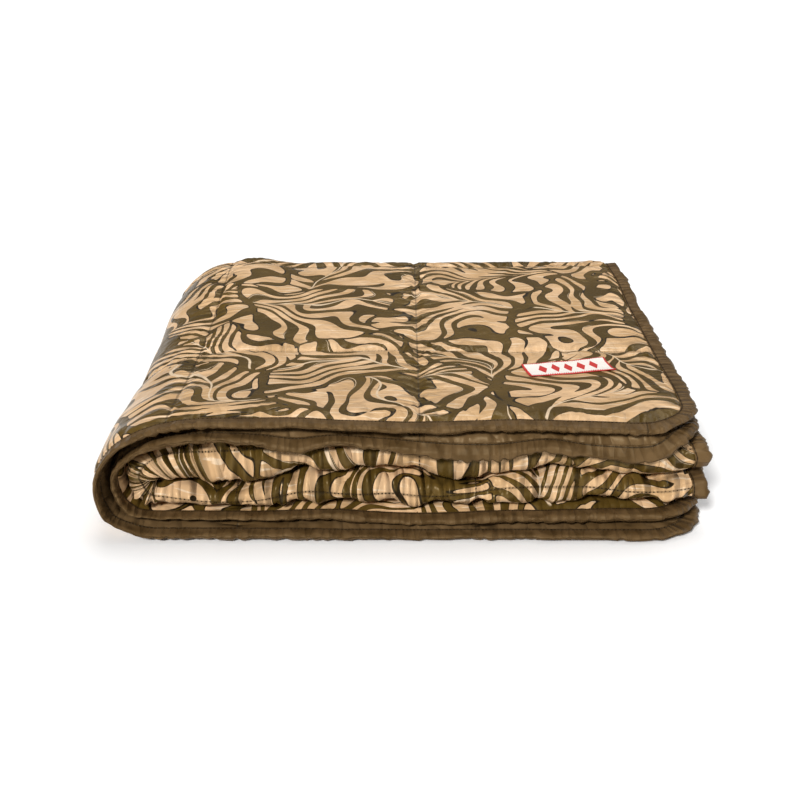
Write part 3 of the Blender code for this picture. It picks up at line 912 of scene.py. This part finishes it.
def leaf_print(n, where):
    """Returns (leaf, outline, vein) masks of the print. where counts PRINT_SCALE units to the metre."""
    # Each cell of the warped sheet holds one leaf, with its own turn, bow and size.
    warp = n.vector("SUBTRACT", n.noise(where, 0.9, 1.0, colour=True), (0.5, 0.5, 0.5))
    warped = n.vector("ADD", where, n.vector("SCALE", warp, 1.1))
    cells = n.add("ShaderNodeTexVoronoi", voronoi_dimensions="2D", feature="F1")
    edges = n.add("ShaderNodeTexVoronoi", voronoi_dimensions="2D", feature="DISTANCE_TO_EDGE")
    for node in (cells, edges):
        n.feed(node, Vector=warped, Scale=LEAF_CELLS, Randomness=LEAF_SCATTER)
    turn, bow, size = n.split(cells.outputs["Color"])
    local = n.vector("SUBTRACT", warped, cells.outputs["Position"])
    angle = n.times(turn, 2 * math.pi)
    cos, sin = n.math("COSINE", angle), n.math("SINE", angle)
    x, y, _ = n.split(local)
    along = n.plus(n.times(x, cos), n.times(y, sin))
    across = n.minus(n.times(y, cos), n.times(x, sin))
    bend = n.times(n.minus(bow, 0.5), 1.1)
    across = n.plus(across, n.times(n.times(along, along), bend))
    out = n.absolute(across)

    # Leaflets leave the stem at a slant, and straighten towards their tips.
    sweep = n.times(n.math("POWER", out, 0.72), 1.25)
    phase = n.plus(along, sweep)
    period = n.ramp(size, 0.0, 1.0, 0.24, 0.42)
    turns = n.plus(n.math("DIVIDE", phase, period), n.wander(where, 1.7, 2.6))
    stripe = n.math("SINE", n.times(turns, 2 * math.pi))
    wide = n.ramp(out, 0.0, 0.22, -0.26, 0.28)
    stripe = n.plus(n.plus(stripe, wide), n.wander(where, 2.3, 2.6))
    stripe = n.times(stripe, n.times(period, 0.16))

    # A channel of plain ground runs between the leaves.
    half_channel = n.ramp(n.noise(where, 1.4, 1.0), 0.3, 0.7, 0.012, 0.046)
    channel = n.minus(edges.outputs["Distance"], half_channel)
    leaf_value = n.math("SMOOTH_MIN", stripe, channel, 0.07)

    leaf = n.ramp(leaf_value, 0.0, 0.0015)
    outline = n.minus(n.ramp(leaf_value, -OUTLINE_WIDTH, -OUTLINE_WIDTH + 0.002), leaf)

    # The stem shows in most leaves, and a rib between the leaflets in patches.
    in_leaf = n.ramp(channel, 0.0, 0.02)
    stem = n.times(n.ramp(out, 0.014, 0.008), in_leaf)
    rib = n.absolute(n.math("SINE", n.times(n.plus(turns, 0.02), math.pi)))
    rib = n.times(n.ramp(rib, 0.05, 0.03), n.ramp(n.noise(where, 1.2, 0.0), 0.5, 0.55))
    vein = n.math("MAXIMUM", stem, n.times(rib, in_leaf))
    vein = n.times(vein, n.ramp(size, 0.25, 0.3))
    return leaf, outline, vein


def seam_marks(n):
    """How near the cloth is to a quilting seam (1 at the seam), which masks the painted seam shade, and the
    waves its stitches pull.
    """
    u, v, _ = n.split(n.sheet())
    from_row = n.math("PINGPONG", n.minus(v, MIDDLE_CREASE), ROW_PITCH / 2)
    from_column = n.math("PINGPONG", n.minus(u, FIRST_COLUMN), COLUMN_PITCH / 2)
    from_column = n.plus(from_column, n.math("LESS_THAN", u, FIRST_COLUMN / 2))
    nearest = n.math("MINIMUM", from_row, from_column)
    from_end = n.math("MINIMUM", v, n.minus(SHEET_LENGTH, v))
    from_side = n.math("MINIMUM", u, n.minus(SHEET_WIDTH, u))
    from_crease = n.absolute(n.minus(v, MIDDLE_CREASE))
    crushed = n.ramp(from_crease, 0.055, 0.015, 0.0, CRUSHED_EXTRA)
    pulled = []
    for seam, border, stretch, extra in (
        (from_row, from_end, (PULLED_CLOSE, PULLED_LONG, 1.0), crushed),
        (from_column, from_side, (PULLED_LONG, PULLED_CLOSE, 1.0), 0.0),
    ):
        near = n.math("MAXIMUM", n.ramp(seam, 0.034, 0.0), n.ramp(border, 0.050, 0.012))
        near = n.plus(near, extra)
        folds = n.creases(n.vector("MULTIPLY", n.sheet(), stretch), 1.0, 0.0)
        pulled.append(n.times(folds, near))
    return n.ramp(nearest, 0.0011, 0.0004), n.plus(*pulled)


def cloth_relief(n, crinkle, pulled):
    """A cloth's small relief: its crinkles, the folds its seams pull and its yarns."""
    normal = n.bump(pulled, PULLED_DEPTH, 0.8, crinkle)
    return n.bump(weave(n, YARN_PITCH), 0.00006, 0.5, normal)


def printed_polyester():
    """Satin-like cloth with an outlined tan leaf print on a dark olive ground."""
    n = Nodes("printed_polyester")
    where = n.sheet(PRINT_SCALE)
    leaf, outline, vein = leaf_print(n, where)
    ground = n.blend(n.ramp(n.noise(where, 1.3), 0.35, 0.65), (0.068, 0.040, 0.007), (0.098, 0.058, 0.012))
    tan = n.blend(n.ramp(n.noise(where, 2.0, 2.0), 0.3, 0.7), (0.52, 0.325, 0.158), (0.67, 0.44, 0.245))

    # Pale streaks run across the sheet, partly thicker yarns and partly painted sheen.
    slub_and_sheen_streaks = n.noise(n.vector("MULTIPLY", n.sheet(), (25.0, 400.0, 1.0)), 1.0, 1.0)
    tan = n.blend(n.ramp(slub_and_sheen_streaks, 0.60, 0.74, 0.0, 0.5), tan, (0.84, 0.70, 0.52))
    colour = n.blend(leaf, ground, tan)
    colour = n.blend(outline, colour, (0.016, 0.010, 0.004))
    colour = n.blend(vein, colour, (0.68, 0.52, 0.35))
    seam, pulled = seam_marks(n)
    # Painted shade darkens the printed cloth in its seam grooves.
    colour = n.blend(n.times(seam, 0.45), colour, PAINTED_SEAM_SHADE)
    crinkle = n.bump(n.creases(where, 4.5, 2.0, 0.45), 0.005, 0.6)
    roughness = n.ramp(n.noise(where, 5.0, 2.0), 0.2, 0.8, 0.28, 0.38)
    return n.finish(colour, roughness, cloth_relief(n, crinkle, pulled), 0.4, WARM_SHINE)


def brown_polyester():
    """The plain brown lining."""
    n = Nodes("brown_polyester")
    where = n.sheet(10.0)
    mottled = n.ramp(n.noise(where, 3.0, 2.0), 0.3, 0.7)
    colour = n.blend(mottled, (0.092, 0.053, 0.020), (0.140, 0.085, 0.037))
    seam, pulled = seam_marks(n)
    # Painted shade darkens the lining in its seam grooves.
    colour = n.blend(n.times(seam, 0.5), colour, PAINTED_SEAM_SHADE)
    crinkle = n.bump(n.creases(where, 4.0, 2.0, 0.45), 0.009, 0.7)
    return n.finish(colour, 0.38, cloth_relief(n, crinkle, pulled), 0.24, WARM_SHINE)


def brown_tape():
    """The ribbed brown tape, with painted shade at its seam and in its tucks."""
    n = Nodes("brown_binding_tape")
    mottled = n.ramp(n.noise(n.sheet(10.0), 6.0, 2.0), 0.3, 0.7)
    colour = n.blend(mottled, (0.078, 0.044, 0.016), (0.118, 0.070, 0.029))
    along = n.split(n.sheet(math.pi / 0.0008))[0]
    ribs = n.absolute(n.math("SINE", along))
    offset = n.math("PINGPONG", n.split(n.sheet())[1], TAPE_REPEAT / 2)
    from_seam = n.absolute(n.minus(offset, TAPE_SEAM))
    # Painted shade darkens the tape along its seam groove.
    tape_seam_shade = n.times(n.ramp(from_seam, 0.0009, 0.0003), 0.75)
    colour = n.blend(tape_seam_shade, colour, (0.010, 0.006, 0.003))
    folds = n.creases(n.vector("MULTIPLY", n.sheet(), (100.0, 14.0, 1.0)), 1.0, 0.0)
    # Painted shade darkens the tape along the creases of its tucks.
    colour = n.blend(n.ramp(folds, 0.03, 0.0, 0.0, 0.3), colour, (0.030, 0.016, 0.006))
    tucks = n.bump(folds, 0.009, 0.7)
    return n.finish(colour, 0.45, n.bump(ribs, 0.0001, 0.5, tucks), 0.2, WARM_SHINE)


def thread(name, colour):
    """Twisted thread, a little paler in places than the given colour."""
    n = Nodes(name)
    twist = n.math("SINE", n.split(n.sheet(2 * math.pi / 0.0004))[0])
    paler = tuple(c * 1.5 for c in colour)
    shade = n.blend(n.ramp(n.noise(n.sheet(1000.0), 1.0), 0.3, 0.7), colour, paler)
    return n.finish(shade, 0.6, n.bump(twist, 0.00005, 0.5), 0.1)


DIAMOND_COUNT = 5
DIAMOND_PITCH = 0.0125
DIAMOND_RISE = 0.030


def label_weave():
    """White cloth with a red border all round and a plain row of red diamonds."""
    n = Nodes("white_woven_label")
    width, height = LABEL_SIZE
    a, b, _ = n.split(n.sheet())
    from_end = n.math("MINIMUM", a, n.minus(width, a))
    from_side = n.math("MINIMUM", b, n.minus(height, b))
    border = n.math("MAXIMUM", n.ramp(from_end, 0.0020, 0.0016), n.ramp(from_side, 0.0016, 0.0012))
    step = n.math("DIVIDE", n.minus(a, width / 2), DIAMOND_PITCH)
    cell = n.absolute(n.minus(step, n.math("ROUND", step)))
    rise = n.absolute(n.math("DIVIDE", n.minus(b, height / 2), DIAMOND_RISE))
    diamond = n.ramp(n.plus(cell, rise), 0.36, 0.33)
    inside = n.math("LESS_THAN", n.absolute(step), DIAMOND_COUNT / 2)
    red = n.math("MAXIMUM", border, n.times(diamond, inside))
    worn = n.noise(n.sheet(100.0), 3.0, 3.0)
    white = n.blend(worn, (0.78, 0.72, 0.66), (0.86, 0.82, 0.77))
    colour = n.blend(red, white, (0.52, 0.035, 0.03))
    normal = n.bump(weave(n, 0.0007), 0.0001, 0.6)
    return n.finish(colour, 0.65, normal, 0.3)


def batting_fibre():
    """Matt white fluff."""
    n = Nodes("polyester_batting")
    fluff = n.noise(n.sheet(10.0), 30.0, 4.0, 0.7)
    colour = n.blend(fluff, (0.7, 0.7, 0.68), (0.85, 0.85, 0.83))
    return n.finish(colour, 0.95, n.bump(fluff, 0.001, 0.6))


# ---------------------------------------------------------------- stage


FLOOR_REACH = 40.0
WORLD_STRENGTH = 0.18
SENSOR_WIDTH = 36.0
LENS = 56.2
CAMERA_PLACE = (-0.003, -1.205, 0.554)
CAMERA_DIP = 23.6


def sun(name, place_from, width, strength, colour=(1, 1, 1)):
    """A light that shines from a place towards the origin, width degrees wide."""
    data = bpy.data.lights.new(name, "SUN")
    data.angle = math.radians(width)
    data.energy = strength
    data.color = colour
    made = bpy.data.objects.new(name, data)
    made.location = place_from
    x, y, z = made.location
    made.rotation_euler = (math.atan2(math.hypot(x, y), z), 0.0, math.atan2(x, -y))
    bpy.context.scene.collection.objects.link(made)


def stage():
    """A pale floor under the part, a dim white world and three lights."""
    corners = [(x * FLOOR_REACH, y * FLOOR_REACH, 0) for x, y in ((-1, -1), (1, -1), (1, 1), (-1, 1))]
    mesh = bpy.data.meshes.new("floor")
    mesh.from_pydata(corners, [], [(0, 1, 2, 3)])
    mesh.materials.append(Nodes("pale_floor").finish((0.95, 0.95, 0.95), 0.8, specular=0.1))
    floor = bpy.data.objects.new("floor", mesh)
    floor.location.z = CAD_LOW[2]
    bpy.context.scene.collection.objects.link(floor)

    world = bpy.data.worlds.new("studio")
    world.use_nodes = True
    back = world.node_tree.nodes["Background"]
    back.inputs["Color"].default_value = (1.0, 1.0, 1.0, 1.0)
    back.inputs["Strength"].default_value = WORLD_STRENGTH
    bpy.context.scene.world = world
    sun("key", (-0.38, -1.0, 0.78), 10, 3.4, (1.0, 0.99, 0.98))
    sun("above", (0.05, 0.5, 1.2), 35, 1.0)
    sun("right", (1.3, 0.45, 0.75), 60, 1.0)


def camera():
    data = bpy.data.cameras.new("camera")
    data.sensor_width = SENSOR_WIDTH
    data.lens = LENS
    made = bpy.data.objects.new("camera", data)
    made.location = CAMERA_PLACE
    made.rotation_euler = (math.radians(90 - CAMERA_DIP), 0.0, 0.0)
    bpy.context.scene.collection.objects.link(made)
    bpy.context.scene.camera = made


def main():
    bpy.context.scene.view_settings.view_transform = "Standard"
    camera()
    stage()

    threads = {
        "dark_thread": thread("dark_thread", (0.026, 0.015, 0.006)),
        "brown_thread": thread("brown_thread", (0.050, 0.034, 0.018)),
    }
    printed = printed_cloth(printed_polyester())
    lining = lining_cloth(brown_polyester())
    batting = batting_sheet(batting_fibre())
    tape = binding_tape(brown_tape())
    label = woven_label(label_weave())
    sewn = label_stitches(thread("red_thread", (0.42, 0.03, 0.025)))
    quilting(threads)
    binding_stitches(threads)

    for piece, node, slot in (
        (printed, "printed_shell", "printed_polyester"),
        (lining, "lining", "brown_polyester"),
        (batting, "insulation", "polyester_batting"),
        (tape, "edge_binding", "brown_binding_tape"),
        (label, "woven_label", "white_woven_label"),
        (sewn, "label_thread", "red_thread"),
    ):
        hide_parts(node)


main()
